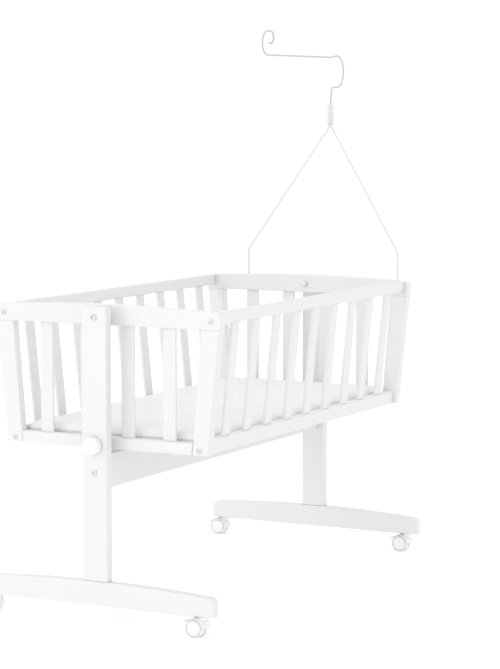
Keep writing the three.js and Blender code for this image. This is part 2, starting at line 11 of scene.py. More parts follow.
import bpy
import numpy as np
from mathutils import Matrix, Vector


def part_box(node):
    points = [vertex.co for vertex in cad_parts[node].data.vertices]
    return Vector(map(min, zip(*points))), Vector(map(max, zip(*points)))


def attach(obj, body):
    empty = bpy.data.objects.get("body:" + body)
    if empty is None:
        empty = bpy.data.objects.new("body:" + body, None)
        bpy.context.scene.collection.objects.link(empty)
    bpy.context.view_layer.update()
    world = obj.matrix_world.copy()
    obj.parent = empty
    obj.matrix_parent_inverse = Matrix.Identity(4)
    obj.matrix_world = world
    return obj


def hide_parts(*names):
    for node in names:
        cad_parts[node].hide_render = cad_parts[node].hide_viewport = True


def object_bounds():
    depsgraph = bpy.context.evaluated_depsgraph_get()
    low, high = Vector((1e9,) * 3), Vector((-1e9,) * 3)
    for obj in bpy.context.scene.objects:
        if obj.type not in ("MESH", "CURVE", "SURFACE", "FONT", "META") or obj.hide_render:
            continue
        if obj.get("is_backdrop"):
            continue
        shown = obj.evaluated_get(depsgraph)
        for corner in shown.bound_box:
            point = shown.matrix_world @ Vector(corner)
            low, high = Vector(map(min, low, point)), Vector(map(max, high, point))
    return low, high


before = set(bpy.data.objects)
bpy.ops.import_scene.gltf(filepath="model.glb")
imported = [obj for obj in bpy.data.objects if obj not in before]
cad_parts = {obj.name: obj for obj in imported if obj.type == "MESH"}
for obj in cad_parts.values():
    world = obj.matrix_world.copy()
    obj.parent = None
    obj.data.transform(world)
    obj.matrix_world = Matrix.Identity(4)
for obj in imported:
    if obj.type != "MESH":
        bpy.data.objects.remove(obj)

cad_low, cad_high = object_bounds()
print("CAD size in metres:", [round(h - l, 4) for l, h in zip(cad_low, cad_high)])

# %% [markdown]
# ## The camera
#
# A long lens from about five metres away keeps upright posts nearly parallel. It is turned and
# dipped to face the middle of the cradle, so it needs no lens shift.

# %% The camera
CAMERA_PLACE = Vector((-4.590, -2.4656, 1.0795))
CAMERA_TURN = math.radians(27.386)  # from +X towards +Y
CAMERA_DIP = math.radians(5.714)
LENS_MM = 125.66

camera_data = bpy.data.cameras.new("camera")
camera_data.lens = LENS_MM
camera_data.clip_end = 200.0
camera = bpy.data.objects.new("camera", camera_data)
bpy.context.collection.objects.link(camera)
looking = Vector((
    math.cos(CAMERA_TURN) * math.cos(CAMERA_DIP),
    math.sin(CAMERA_TURN) * math.cos(CAMERA_DIP),
    -math.sin(CAMERA_DIP),
))
camera.location = CAMERA_PLACE
camera.rotation_euler = looking.to_track_quat("-Z", "Y").to_euler()
bpy.context.scene.camera = camera
print("camera looks along", [round(c, 3) for c in looking])

# %% [markdown]
# ## Sums on shader sockets
#
# A finish is easier to read as sums, such as `0.4 + 0.1 * speckle`. `Link` wraps the output of
# a node and turns each sum or product into a Math node. `Finish` holds one material, and its method
# `node` makes any node from its type, its settings and the values or links of its sockets.

# %% Shader sums
class Link:
    """The output of a node, on which plain sums and products add Math nodes."""

    def __init__(self, finish, socket):
        self.finish = finish
        self.socket = socket

    def sum(self, operation, a, b):
        return self.finish.node("ShaderNodeMath", {"operation": operation}, {0: a, 1: b})

    def __add__(self, other):
        return self.sum("ADD", self, other)

    def __mul__(self, other):
        return self.sum("MULTIPLY", self, other)

    __radd__ = __add__
    __rmul__ = __mul__


class Finish:
    """One material, built node by node."""

    def __init__(self, name, slot):
        self.slot = slot
        self.material = bpy.data.materials.new(name)
        self.material.use_nodes = True
        self.tree = self.material.node_tree
        self.tree.nodes.clear()

    def node(self, kind, settings=None, inputs=None, output=0):
        """A node of a type. Settings come first, then the values or links of its sockets."""
        made = self.tree.nodes.new(kind)
        for name, value in (settings or {}).items():
            setattr(made, name, value)
        for name, value in (inputs or {}).items():
            if isinstance(value, Link):
                self.tree.links.new(value.socket, made.inputs[name])
            else:
                made.inputs[name].default_value = value
        return None if output is None else Link(self, made.outputs[output])

    def place(self, stretch=(1.0, 1.0, 1.0)):
        """The point on the piece in metres, each axis multiplied by its own factor."""
        point = self.node("ShaderNodeTexCoord", output="Object")
        return self.node("ShaderNodeMapping", None, {"Vector": point, "Scale": stretch})

    def noise(self, point, scale, detail=2.0, rough=0.5):
        """Soft noise from 0 to 1 with about `scale` lumps to the metre."""
        inputs = {"Vector": point, "Scale": scale, "Detail": detail, "Roughness": rough}
        return self.node("ShaderNodeTexNoise", None, inputs)

    def wave(self, point, direction, scale, bend=0.0):
        """Parallel sine bands across X, Y or Z."""
        settings = {"wave_type": "BANDS", "bands_direction": direction}
        inputs = {"Vector": point, "Scale": scale, "Distortion": bend, "Detail": 1.0}
        return self.node("ShaderNodeTexWave", settings, inputs, output="Fac")

    def blend(self, share, first, second):
        """One colour at share 0 and another at share 1."""
        colours = {0: share, 6: (*first, 1.0), 7: (*second, 1.0)}
        return self.node("ShaderNodeMix", {"data_type": "RGBA"}, colours, output=2)

    def steps(self, value, low, high):
        """0 below `low`, 1 above `high`, smooth in between."""
        settings = {"interpolation_type": "SMOOTHSTEP"}
        inputs = {"Value": value, "From Min": low, "From Max": high}
        return self.node("ShaderNodeMapRange", settings, inputs)

    def bump(self, height, metres, strength=1.0):
        """A normal tilted by a height field that is `metres` high."""
        inputs = {"Height": height, "Distance": metres, "Strength": strength}
        return self.node("ShaderNodeBump", None, inputs)

    def done(self, **sockets):
        """Closes the material with a Principled surface; names are its sockets' names."""
        inputs = {name.replace("_", " "): value for name, value in sockets.items()}
        surface = self.node("ShaderNodeBsdfPrincipled", None, inputs)
        self.node("ShaderNodeOutputMaterial", None, {"Surface": surface}, output=None)
        print("finish", self.material.name, "has", len(self.tree.nodes), "nodes")
        return self

# %% [markdown]
# ## White lacquer on wood
#
# The frame is sawn from solid wood and sprayed white. Close up, the lacquer still shows a
# trace of the grain as long fine lines, and a faint orange-peel texture from the spray gun.
# Both are bump only, because the coat is opaque. The colour drifts a little from warm to
# cool white. Grain follows each board, so there is one finish for each direction.

# %% White lacquer
GRAIN_ALONG = 14.0  # streaks to the metre along a board
GRAIN_ACROSS = 520.0  # and across it


def white_lacquer(name, along):
    """Satin white lacquer over wood whose grain runs along axis 0, 1 or 2."""
    stretch = [GRAIN_ACROSS] * 3
    stretch[along] = GRAIN_ALONG
    finish = Finish(name, "frame_paint")
    point = finish.place()
    grain = finish.noise(finish.place(stretch), 1.0, detail=3.0, rough=0.6)
    spray = finish.noise(point, 900.0, detail=1.0)
    drift = finish.noise(point, 4.0)
    height = 0.65 * finish.steps(grain, 0.35, 0.7) + 0.35 * spray
    return finish.done(
        Base_Color=finish.blend(drift, (0.778, 0.773, 0.771), (0.794, 0.795, 0.796)),
        Roughness=0.33 + 0.10 * spray + 0.08 * grain,
        Normal=finish.bump(height, 0.00012, 0.45),
        Coat_Weight=0.12,
        Coat_Roughness=0.25,
    )


lacquer_x = white_lacquer("white_lacquer_along", 0)
lacquer_y = white_lacquer("white_lacquer_across", 1)
lacquer_z = white_lacquer("white_lacquer_upright", 2)

# %% [markdown]
# ## Hardboard, plastic, steel and wire
#
# The base board is hardboard with a thin white face, so it is rougher and mottled. The knob
# and the casters are moulded white plastic: smooth, with a fine grain from the mould. The
# sleeve on the canopy wire is milky grey plastic. Bolts are zinc-plated, with fine streaks and
# a cloudy gloss. The canopy wires have a thin powder coat with tiny pits, light grey on the
# fork and a little darker on the hook.

# %% Board, plastic, steel and wire
def white_hardboard():
    """Thin white coat over pressed fibre: mottled and a little rough."""
    finish = Finish("white_hardboard", "board_paint")
    point = finish.place()
    fibre = finish.noise(point, 420.0, detail=4.0, rough=0.7)
    mottle = finish.noise(point, 30.0)
    return finish.done(
        Base_Color=finish.blend(mottle, (0.76, 0.755, 0.745), (0.82, 0.815, 0.805)),
        Roughness=0.5 + 0.2 * fibre,
        Normal=finish.bump(fibre, 0.00015, 0.5),
    )


def moulded_plastic(name, slot, dark, light, rough, clear):
    """Moulded plastic: a fine mould grain in bump and gloss, and slow drift in colour.
    `clear` is how much light passes through it."""
    finish = Finish(name, slot)
    point = finish.place()
    mould = finish.noise(point, 2400.0, detail=1.0)
    flow = finish.noise(point, 60.0)
    return finish.done(
        Base_Color=finish.blend(flow, dark, light),
        Roughness=rough + 0.10 * mould + 0.06 * flow,
        Normal=finish.bump(mould, 0.00004, 0.4),
        Subsurface_Weight=clear,
        Subsurface_Scale=0.004,
    )


def zinc_plate():
    """Zinc-plated steel: bluish grey, with fine streaks and cloudy gloss."""
    finish = Finish("zinc_plated_steel", "bolt_metal")
    point = finish.place()
    streak = finish.noise(finish.place((400.0, 2600.0, 2600.0)), 1.0)
    cloud = finish.noise(point, 260.0)
    return finish.done(
        Base_Color=finish.blend(cloud, (0.70, 0.70, 0.71), (0.82, 0.82, 0.83)),
        Roughness=0.30 + 0.16 * cloud + 0.08 * streak,
        Normal=finish.bump(streak, 0.00003, 0.5),
        Metallic=1.0,
    )


def coated_wire(name, dark, light):
    """Pale powder coat on steel wire, with tiny pits and dips."""
    finish = Finish(name, "wire_paint")
    point = finish.place()
    pits = finish.noise(point, 1500.0, detail=2.0)
    drift = finish.noise(point, 25.0)
    return finish.done(
        Base_Color=finish.blend(drift, dark, light),
        Roughness=0.30 + 0.14 * pits,
        Normal=finish.bump(pits, 0.00005, 0.5),
        Coat_Weight=0.2,
        Coat_Roughness=0.2,
    )


hardboard = white_hardboard()
plastic = moulded_plastic(
    "white_plastic", "white_plastic", (0.86, 0.86, 0.855), (0.90, 0.90, 0.90), 0.20, 0.06
)
sleeve_plastic = moulded_plastic(
    "milky_sleeve", "grey_plastic", (0.66, 0.69, 0.74), (0.73, 0.755, 0.80), 0.34, 0.25
)
zinc = zinc_plate()
hook_coat = coated_wire("coated_hook_wire", (0.51, 0.515, 0.52), (0.57, 0.575, 0.58))
fork_coat = coated_wire("coated_fork_wire", (0.67, 0.675, 0.68), (0.73, 0.735, 0.74))

# %% [markdown]
# ## The mattress cover
#
# The cover is a plain cotton weave in a cool white. Over and under threads are two sets of
# sine bands, one along X and one along Y. Their product is a small cushion at each crossing.
# Noise bends the bands a little, and larger noise gives the creases that cloth keeps.
# The colour is also painted darker in the weave's hollows, as painted shade.

# %% Mattress cover
THREADS = 190.0  # wave scale: about 1 thread to 1.7 mm


def cotton_cover():
    """Plain weave: bump from two crossed sets of bands, soft sheen at grazing angles."""
    finish = Finish("cotton_cover", "mattress_cover")
    point = finish.place()
    warp = finish.wave(point, "X", THREADS, bend=0.4)
    weft = finish.wave(point, "Y", THREADS, bend=0.4)
    upright = finish.wave(point, "Z", THREADS, bend=0.4)
    weave = warp * weft + 0.5 * upright
    fluff = finish.noise(point, 700.0, detail=3.0, rough=0.7)
    crease = finish.noise(finish.place((5.0, 11.0, 5.0)), 1.0, detail=2.0, rough=0.45)
    # Painted shade: the colour is darker in the weave's hollows between crossings; the fluff adds a
    # random tone.
    shade = finish.steps(weave + 0.5 * fluff, 0.1, 1.5)
    return finish.done(
        Base_Color=finish.blend(shade, (0.822, 0.825, 0.842), (0.868, 0.870, 0.886)),
        Roughness=0.82 + 0.12 * fluff,
        Normal=finish.bump(0.2 * weave + 0.1 * fluff + 6.0 * crease, 0.0006, 0.5),
        Sheen_Weight=0.25,
        Sheen_Roughness=0.4,
    )


cover = cotton_cover()

# %% [markdown]
# ## Rings and skins
#
# Almost every part of this cradle is a stack of closed rings: a board is its outline, moved
# inwards and back out again through its thickness, and a turned knob is circles along its
# axle. So one helper joins rings with quads and closes both ends with a face. It measures
# the enclosed volume first, and if that is negative the rings wind the wrong way round, so
# it turns them.

# %% Skin over rings
MM = 0.001


def skin(rings, loop=False):
    """Points and faces of a closed surface over `rings`, an array (rings, points, 3).
    With `loop`, the last ring joins the first and there are no end faces."""
    count, around = rings.shape[:2]
    here = rings if loop else rings[:-1]
    ahead = np.roll(rings, -1, 0) if loop else rings[1:]
    # Volume = sum of p0 . (p1 x p2) / 6 over triangles; end faces as fans from their middle.
    a, b = here, np.roll(here, -1, 1)
    c, d = np.roll(ahead, -1, 1), ahead
    volume = (a * np.cross(b, c)).sum() + (a * np.cross(c, d)).sum()
    if not loop:
        for ring, sign in ((rings[0], -1.0), (rings[-1], 1.0)):
            middle = ring.mean(0)
            fan = np.cross(ring, np.roll(ring, -1, 0))
            volume += sign * (fan @ middle).sum()
    if volume < 0:
        rings = rings[:, ::-1]
    index = np.arange(count * around).reshape(count, around)
    low = index if loop else index[:-1]
    high = np.roll(index, -1, 0) if loop else index[1:]
    quads = np.stack([low, np.roll(low, -1, 1), np.roll(high, -1, 1), high], -1)
    faces = quads.reshape(-1, 4).tolist()
    if not loop:
        faces += [index[0, ::-1].tolist(), index[-1].tolist()]
    return rings.reshape(-1, 3), faces


def piece(name, rings, finish, body, stands_for=(), loop=False):
    """A smooth piece over rings, riding on a body and standing for some CAD nodes."""
    points, faces = skin(rings, loop)
    mesh = bpy.data.meshes.new(name)
    mesh.from_pydata(points.tolist(), [], faces)
    mesh.shade_smooth()
    mesh.materials.append(finish.material)
    obj = bpy.data.objects.new(name, mesh)
    bpy.context.collection.objects.link(obj)
    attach(obj, body)
    if stands_for:
        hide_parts(*stands_for)
    return obj


def placed(rings, origin, first, second, third):
    """Rings in a piece's own axes, carried to its place in the room."""
    return rings @ np.array([first, second, third], float) + np.asarray(origin, float)


X, Y, Z = np.eye(3)

# %% [markdown]
# ## Outlines with round corners
#
# A carpenter draws an outline as straight lines and then rounds each corner with its own
# radius. `rounded` does the same: an arc of radius r starts r / tan(half the inner angle)
# away from its corner. A guard point just beside each arc keeps the straight stretch flat
# when the surface is shaded smooth.

# %% Outlines
GUARD = 0.5 * MM
SHARP = 0.25 * MM  # the smallest corner radius


def unit(v):
    return v / np.linalg.norm(v)


def corner_arc(before, here, after, radius, steps):
    """Points of one rounded corner, with a guard point at each side."""
    u, v = unit(before - here), unit(after - here)
    half = math.acos(float(np.clip(u @ v, -1.0, 1.0))) / 2
    reach = radius / math.tan(half)
    centre = here + unit(u + v) * radius / math.sin(half)
    turn = math.pi - 2 * half
    share = np.linspace(0.0, 1.0, steps + 1)[:, None]
    start, stop = here + u * reach - centre, here + v * reach - centre
    arc = (np.sin((1 - share) * turn) * start + np.sin(share * turn) * stop) / math.sin(turn)
    guards = here + np.stack([u, v]) * (reach + GUARD)
    return np.concatenate([guards[:1], centre + arc, guards[1:]])


def rounded(corners, radii, closed=True, steps=6):
    """The line through `corners`, each turned on its own radius; 0 leaves it as it is."""
    corners = np.asarray(corners, float)
    line = []
    for i, radius in enumerate(radii):
        inside = closed or 0 < i < len(corners) - 1
        if radius > 0 and inside:
            after = corners[(i + 1) % len(corners)]
            line.append(corner_arc(corners[i - 1], corners[i], after, radius, steps))
        else:
            line.append(corners[i : i + 1])
    return np.concatenate(line)


def inset_outline(corners, inset):
    """Corners of a polygon moved inwards: corner + inset * (m + n) / (1 + m.n), where m and
    n are the inward normals of the two sides that meet there."""
    side = np.roll(corners, -1, 0) - corners
    side /= np.linalg.norm(side, axis=1)[:, None]
    after = np.stack([-side[:, 1], side[:, 0]], 1)
    before = np.roll(after, 1, 0)
    return corners + inset * (before + after) / (1 + (before * after).sum(1))[:, None]


# %% [markdown]
# ## Boards
#
# A board is its outline and a thickness, and each long edge is eased with a small radius.
# The rings follow that radius: at angle t the outline is moved in by r * (1 - sin t) at
# depth r * (1 - cos t). Because each ring is inset from the true corners, sharp corners
# stay mitred instead of folding over.

# %% Boards
def board(corners, radii, thickness, edge, steps=4):
    """Rings of a board in its own axes: outline in the first two, thickness along the third
    from 0. Edges are eased with radius `edge`."""
    corners, radii = np.asarray(corners, float), np.asarray(radii, float)
    ahead = np.roll(corners, -1, 0)
    if (corners[:, 0] * ahead[:, 1] - corners[:, 1] * ahead[:, 0]).sum() < 0:
        corners, radii = corners[::-1], radii[::-1]
    t = np.linspace(0.0, math.pi / 2, steps + 1)
    inset = np.r_[edge + GUARD, edge * (1 - np.sin(t)), 0.0]
    depth = np.r_[0.0, edge * (1 - np.cos(t)), edge + GUARD]
    inset = np.r_[inset, inset[::-1]]
    depth = np.r_[depth, thickness - depth[::-1]]
    rings = []
    for move, deep in zip(inset, depth):
        kept = np.where(radii > 0, np.maximum(radii - move, SHARP), 0.0)
        line = rounded(inset_outline(corners, move), kept)
        rings.append(np.column_stack([line, np.full(len(line), deep)]))
    return np.array(rings)


def box_corners(low, high):
    """Corners of a plain rectangle from its lowest and highest corner."""
    return [(low[0], low[1]), (high[0], low[1]), (high[0], high[1]), (low[0], high[1])]


def span(node):
    """Lowest and highest corner of a CAD node, as arrays."""
    low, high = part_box(node)
    return np.array(low), np.array(high)


ENDS = {"lock": -1.0, "canopy": 1.0}
SIDES = {"right": -1.0, "left": 1.0}
STAND_EDGE = 2.4 * MM
CRIB_EDGE = 2.4 * MM

# %% [markdown]
# ## The stand
#
# Two upright posts with rounded top corners stand on two floor beams. Each beam is a board
# on edge whose top is a shallow arch: the top falls with the square of the distance from the
# middle. A wide board between the posts, the stretcher, keeps them apart.

# %% Posts
POST_TOP_CORNER = 9 * MM

for end in ENDS:
    low, high = span(f"post_{end}_end")
    rings = board(
        box_corners(low[1:], high[1:]), [SHARP, SHARP, POST_TOP_CORNER, POST_TOP_CORNER],
        high[0] - low[0], STAND_EDGE,
    )
    piece(f"post_{end}_end_fine", placed(rings, (low[0], 0, 0), Y, Z, X), lacquer_z,
          "stand", [f"post_{end}_end"])
    print("post", end, "is", round((high[2] - low[2]) / MM), "mm high")

# %% Floor beams
BEAM_ARCH = 10.7 * MM  # how far the top falls from the middle to the ends
BEAM_TOP_CORNER = 13 * MM
BEAM_LOW_CORNER = 3 * MM
BEAM_ARCH_SPAN = 0.93  # the arch's share of the beam, clear of its corners

arch = np.linspace(BEAM_ARCH_SPAN, -BEAM_ARCH_SPAN, 19)
for end in ENDS:
    low, high = span(f"floor_beam_{end}_end")
    half = high[1]
    top = np.column_stack([arch * half, high[2] - BEAM_ARCH * arch**2])
    end_top = high[2] - BEAM_ARCH
    corners = [(-half, low[2]), (half, low[2]), (half, end_top), *top, (-half, end_top)]
    radii = [BEAM_LOW_CORNER] * 2 + [BEAM_TOP_CORNER] + [0.0] * len(top) + [BEAM_TOP_CORNER]
    rings = board(corners, radii, high[0] - low[0], STAND_EDGE)
    piece(f"floor_beam_{end}_end_fine", placed(rings, (low[0], 0, 0), Y, Z, X), lacquer_y,
          "stand", [f"floor_beam_{end}_end"])
    print("floor beam", end, "is", round(2 * half / MM), "mm long")

# %% Stretcher
STRETCHER_EDGE = 3 * MM

low, high = span("stretcher")
rings = board(
    box_corners(low[[0, 2]], high[[0, 2]]), [SHARP] * 4, high[1] - low[1], STRETCHER_EDGE
)
piece("stretcher_fine", placed(rings, (0, low[1], 0), X, Z, Y), lacquer_x,
      "stand", ["stretcher"])
print("stretcher is", round((high[0] - low[0]) / MM), "mm long")

# %% [markdown]
# ## The crib's end panels
#
# The crib widens upwards, so its stiles lean out. Each end panel has an arched top rail
# across the whole width, a wide stile at each side, a bottom rail between the stiles, and
# four upright slats. The half width at any height comes from two corners of a CAD stile.

# %% Half width of the crib
def far_corner(node, direction):
    """The vertex of a CAD node that lies furthest in a direction."""
    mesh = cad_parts[node].data
    points = np.empty(3 * len(mesh.vertices))
    mesh.vertices.foreach_get("co", points)
    points = points.reshape(-1, 3)
    return points[np.argmax(points @ np.asarray(direction, float))]


sill = far_corner("end_lock_left_stile", (0, 1, -0.5))
shoulder = far_corner("end_lock_left_stile", (0, 1, 1))
SPLAY_TANGENT = (shoulder[1] - sill[1]) / (shoulder[2] - sill[2])


def crib_half_width(z):
    """Half the crib's outer width at height z."""
    return sill[1] + (z - sill[2]) * SPLAY_TANGENT


print("the sides lean out by", round(math.degrees(math.atan(SPLAY_TANGENT)), 2), "degrees")

# %% Top rails of the ends
RAIL_ARCH = 8 * MM
RAIL_TOP_CORNER = 10 * MM
RAIL_ARCH_SPAN = 0.955

arch = np.linspace(RAIL_ARCH_SPAN, -RAIL_ARCH_SPAN, 21)
for end in ENDS:
    low, high = span(f"end_{end}_top_rail")
    crown = high[2] - RAIL_ARCH
    wide, narrow = crib_half_width(crown), crib_half_width(low[2])
    top = np.column_stack([arch * wide, high[2] - RAIL_ARCH * arch**2])
    corners = [(-narrow, low[2]), (narrow, low[2]), (wide, crown), *top, (-wide, crown)]
    radii = [SHARP] * 2 + [RAIL_TOP_CORNER] + [0.0] * len(top) + [RAIL_TOP_CORNER]
    rings = board(corners, radii, high[0] - low[0], CRIB_EDGE)
    piece(f"end_{end}_top_rail_fine", placed(rings, (low[0], 0, 0), Y, Z, X), lacquer_y,
          "crib", [f"end_{end}_top_rail"])
    print("top rail", end, "is", round(2 * wide / MM), "mm wide")

# %% Stiles
STILE_FOOT_CORNER = 4 * MM
STILE_EDGE = 3.8 * MM
TUCK = 1 * MM  # the eased top goes this far into the rail above, so the joint stays fine

for end in ENDS:
    for side, sign in SIDES.items():
        node = f"end_{end}_{side}_stile"
        low, high = span(node)
        inner_top = far_corner(node, (0, -0.3 * sign, 1))[1]
        inner_foot = far_corner(node, (0, -sign, -0.5))[1]
        corners = [
            (inner_foot, low[2]),
            (sign * crib_half_width(low[2]), low[2]),
            (sign * crib_half_width(high[2] + TUCK), high[2] + TUCK),
            (inner_top, high[2] + TUCK),
        ]
        rings = board(corners, [SHARP, STILE_FOOT_CORNER, SHARP, SHARP],
                      high[0] - low[0], STILE_EDGE)
        piece(f"{node}_fine", placed(rings, (low[0], 0, 0), Y, Z, X), lacquer_z,
              "crib", [node])
print("stile is", round(abs(shoulder[1] - inner_top) / MM), "mm wide at its top")

# %% Bottom rails and slats of the ends
SLAT_WIDTH = 31 * MM
SLAT_THICKNESS = 7 * MM
SLAT_EDGE = 2.2 * MM
END_SLAT_PITCH = 98 * MM
END_RAIL_HEIGHT = 25 * MM
END_SLATS = 4
TENON = 0.8 * MM  # how far a slat's shown end reaches into its rails


def slat(corners):
    """Rings of a slat from its four corners, its thickness centred on 0."""
    rings = board(corners, [SHARP] * 4, SLAT_THICKNESS, SLAT_EDGE)
    return rings - np.array([0.0, 0.0, SLAT_THICKNESS / 2])


for end, sign in ENDS.items():
    node = f"end_{end}_comb"
    low, high = span(node)
    middle = (low[0] + high[0]) / 2
    rail_top = low[2] + END_RAIL_HEIGHT
    foot = -far_corner(node, (0, -1, -9))[1]
    corners = [(-foot, low[2]), (foot, low[2]), (high[1], rail_top), (-high[1], rail_top)]
    rings = board(corners, [SHARP] * 4, high[0] - low[0], CRIB_EDGE)
    piece(f"end_{end}_bottom_rail", placed(rings, (low[0], 0, 0), Y, Z, X), lacquer_y,
          "crib", [node])
    for i in range(END_SLATS):
        y = (i - (END_SLATS - 1) / 2) * END_SLAT_PITCH
        corners = box_corners(
            (y - SLAT_WIDTH / 2, rail_top - TENON), (y + SLAT_WIDTH / 2, high[2] + TENON)
        )
        piece(f"end_{end}_slat_{i + 1}", placed(slat(corners), (middle, 0, 0), Y, Z, X),
              lacquer_z, "crib", [node])
print("end slats are", round((high[2] - rail_top) / MM), "mm long")

# %% [markdown]
# ## The crib's side panels
#
# A side panel is drawn flat, with X along it and the second axis up its slope, and then laid
# on the leaning plane. Its rails are eased more on the top, where a hand rests. Nine slats
# stand between them.

# %% Side panels
SIDE_INSET = 10 * MM  # from the stiles' outer edge to the panel's outer face
SIDE_THICKNESS = 16 * MM
SIDE_TOP_RAIL = 26 * MM
SIDE_BOTTOM_RAIL = 30 * MM
SIDE_SLATS = 9
TOP_RAIL_EDGE = 4 * MM
BOTTOM_RAIL_EDGE = 2 * MM

lean = math.atan(SPLAY_TANGENT)
crib_low, crib_high = span("end_lock_top_rail")
end_foot = span("end_lock_comb")[0][2]
slope_length = (crib_high[2] - RAIL_ARCH - end_foot) / math.cos(lean)


def side_axes(sign):
    """Origin, slope direction and outward direction of a side panel."""
    up_slope = np.array([0.0, sign * math.sin(lean), math.cos(lean)])
    outward = np.array([0.0, sign * math.cos(lean), -math.sin(lean)])
    origin = np.array([0.0, sign * (crib_half_width(end_foot) - SIDE_INSET), end_foot])
    return origin, up_slope, outward


for side, sign in SIDES.items():
    origin, up_slope, outward = side_axes(sign)
    reach = span(f"side_{side}_top_rail")[1][0]
    rails = (
        ("bottom_rail", 0.0, SIDE_BOTTOM_RAIL, BOTTOM_RAIL_EDGE),
        ("top_rail", slope_length - SIDE_TOP_RAIL, slope_length, TOP_RAIL_EDGE),
    )
    for name, foot, top, edge in rails:
        node = f"side_{side}_{name}"
        rings = board(box_corners((-reach, foot), (reach, top)), [SHARP] * 4,
                      SIDE_THICKNESS, edge)
        piece(f"{node}_fine", placed(rings, origin, X, up_slope, -outward), lacquer_x,
              "crib", [node])
    middle = origin - outward * SIDE_THICKNESS / 2
    foot, top = SIDE_BOTTOM_RAIL - TENON, slope_length - SIDE_TOP_RAIL + TENON
    for i in range(1, SIDE_SLATS + 1):
        node = f"side_{side}_slat_{i}"
        low, high = span(node)
        x = (low[0] + high[0]) / 2
        corners = box_corners((x - SLAT_WIDTH / 2, foot), (x + SLAT_WIDTH / 2, top))
        piece(f"{node}_fine", placed(slat(corners), middle, X, up_slope, -outward),
              lacquer_z, "crib", [node])
print("side slats are", round((top - foot) / MM), "mm long")

# %% [markdown]
# ## Turned pieces and bolts
#
# Knobs, bolt heads and wheels are turned: a profile carried round an axle. A profile is a
# list of (radius, height) corners with a radius for each, as for a board. A bolt head also
# has a six-sided socket: inside the socket's radius, a circle's radius is multiplied by
# cos 30 / cos(angle from the middle of its side), which makes it a hexagon.

# %% Turned pieces
def turned(profile, radii, sides=48, socket=0.0):
    """Rings round the third axis. Rings no wider than `socket` are hexagons."""
    line = rounded(profile, radii, closed=False, steps=4)
    angle = np.linspace(0.0, 2 * math.pi, sides, endpoint=False)
    flat = math.radians(30)
    six = math.cos(flat) / np.cos(angle % (2 * flat) - flat)
    factor = np.where(line[:, :1] <= socket + GUARD / 10, six, 1.0)
    radius = line[:, :1] * factor
    height = np.broadcast_to(line[:, 1:], radius.shape)
    return np.stack([radius * np.cos(angle), radius * np.sin(angle), height], -1)


CENTRE = 0.15 * MM  # radius of the small face that closes a turned piece on its axle
SOCKET, CROWN = 0.48, 0.62  # shares of a bolt head's radius
SOCKET_FLOOR, SOCKET_MOUTH, HEAD_RIM = 0.35, 0.9, 0.55  # shares of its height


def bolt_head(name, face, outward, radius, height, body, stands_for=()):
    """A round head with a hexagon socket, on a face whose outward direction is +X or -X."""
    socket = SOCKET * radius
    profile = [
        (CENTRE, SOCKET_FLOOR * height), (socket, SOCKET_FLOOR * height),
        (socket, SOCKET_MOUTH * height), (CROWN * radius, height),
        (radius, HEAD_RIM * height), (radius, 0.0), (CENTRE, 0.0),
    ]
    radii = [0, 0.1 * MM, 0.1 * MM, 0.6 * MM, 0.5 * MM, 0.2 * MM, 0]
    rings = turned(profile, radii, sides=48, socket=socket)
    axes = (Y, Z, X * outward)
    return piece(name, placed(rings, face, *axes), zinc, body, stands_for)


CORNER_BOLT_RADIUS = 5.6 * MM
CORNER_BOLT_HEIGHT = 2.6 * MM
CORNER_BOLT_EDGE = 21.5 * MM  # from the panel's outer edge
LOW_BOLT_UP, HIGH_BOLT_UP = 10.5 * MM, 17 * MM  # above the lower edge of the bolt's own rail

crib_end = -crib_low[0]
low_bolt, high_bolt = end_foot + LOW_BOLT_UP, crib_low[2] + HIGH_BOLT_UP
for end, out in ENDS.items():
    for side, sign in SIDES.items():
        for level, z in (("lower", low_bolt), ("upper", high_bolt)):
            y = sign * (crib_half_width(z) - CORNER_BOLT_EDGE)
            bolt_head(f"corner_bolt_{end}_{side}_{level}", (out * crib_end, y, z), out,
                      CORNER_BOLT_RADIUS, CORNER_BOLT_HEIGHT, "crib")
print("corner bolts at heights", round(low_bolt, 4), "and", round(high_bolt, 4), "m")

# %% Pivot bolts, cap nuts and stretcher bolts
PIVOT_HEAD = (7 * MM, 4.5 * MM)  # radius and height
STRETCHER_HEAD = (6.5 * MM, 3.5 * MM)
SHANK = 4 * MM
NUT_RADIUS, NUT_HEIGHT = 7 * MM, 9 * MM
NUT_GAP = 0.3 * MM

for end, out in ENDS.items():
    node = f"pivot_bolt_{end}_end"
    low, high = span(node)
    z = (low[2] + high[2]) / 2
    post_low, post_high = span(f"post_{end}_end")
    post_face = max(abs(post_low[0]), abs(post_high[0]))
    bolt_head(f"{node}_head", (out * post_face, 0, z), out, *PIVOT_HEAD, "stand", [node])

    inside = crib_end - (crib_high[0] - crib_low[0])
    shank = turned(
        [(CENTRE, 0), (SHANK, 0), (SHANK, post_face - inside), (CENTRE, post_face - inside)],
        [0, SHARP, SHARP, 0], sides=24,
    )
    piece(f"{node}_shank", placed(shank, (out * inside, 0, z), Y, Z, X * out), zinc,
          "stand", [node])
    nut = turned(
        [(CENTRE, NUT_HEIGHT), (4.6 * MM, 8.2 * MM), (6.6 * MM, 4.5 * MM),
         (NUT_RADIUS, NUT_GAP), (CENTRE, NUT_GAP)],
        [0, 2.4 * MM, 1.2 * MM, SHARP, 0], sides=48,
    )
    piece(f"{node}_cap_nut", placed(nut, (out * inside, 0, z), Y, Z, -X * out), zinc,
          "stand", [node])

    node = f"stretcher_bolt_{end}_end"
    low, high = span(node)
    z = (low[2] + high[2]) / 2
    bolt_head(f"{node}_head", (out * post_face, 0, z), out, *STRETCHER_HEAD, "stand", [node])
print("pivot shank is", round((post_face - inside) / MM), "mm long")

# %% [markdown]
# ## The lock knob
#
# A round white knob on the post pulls a pin out of the crib's end, and the crib is free to
# swing. Its face is slightly domed and its rim is soft.

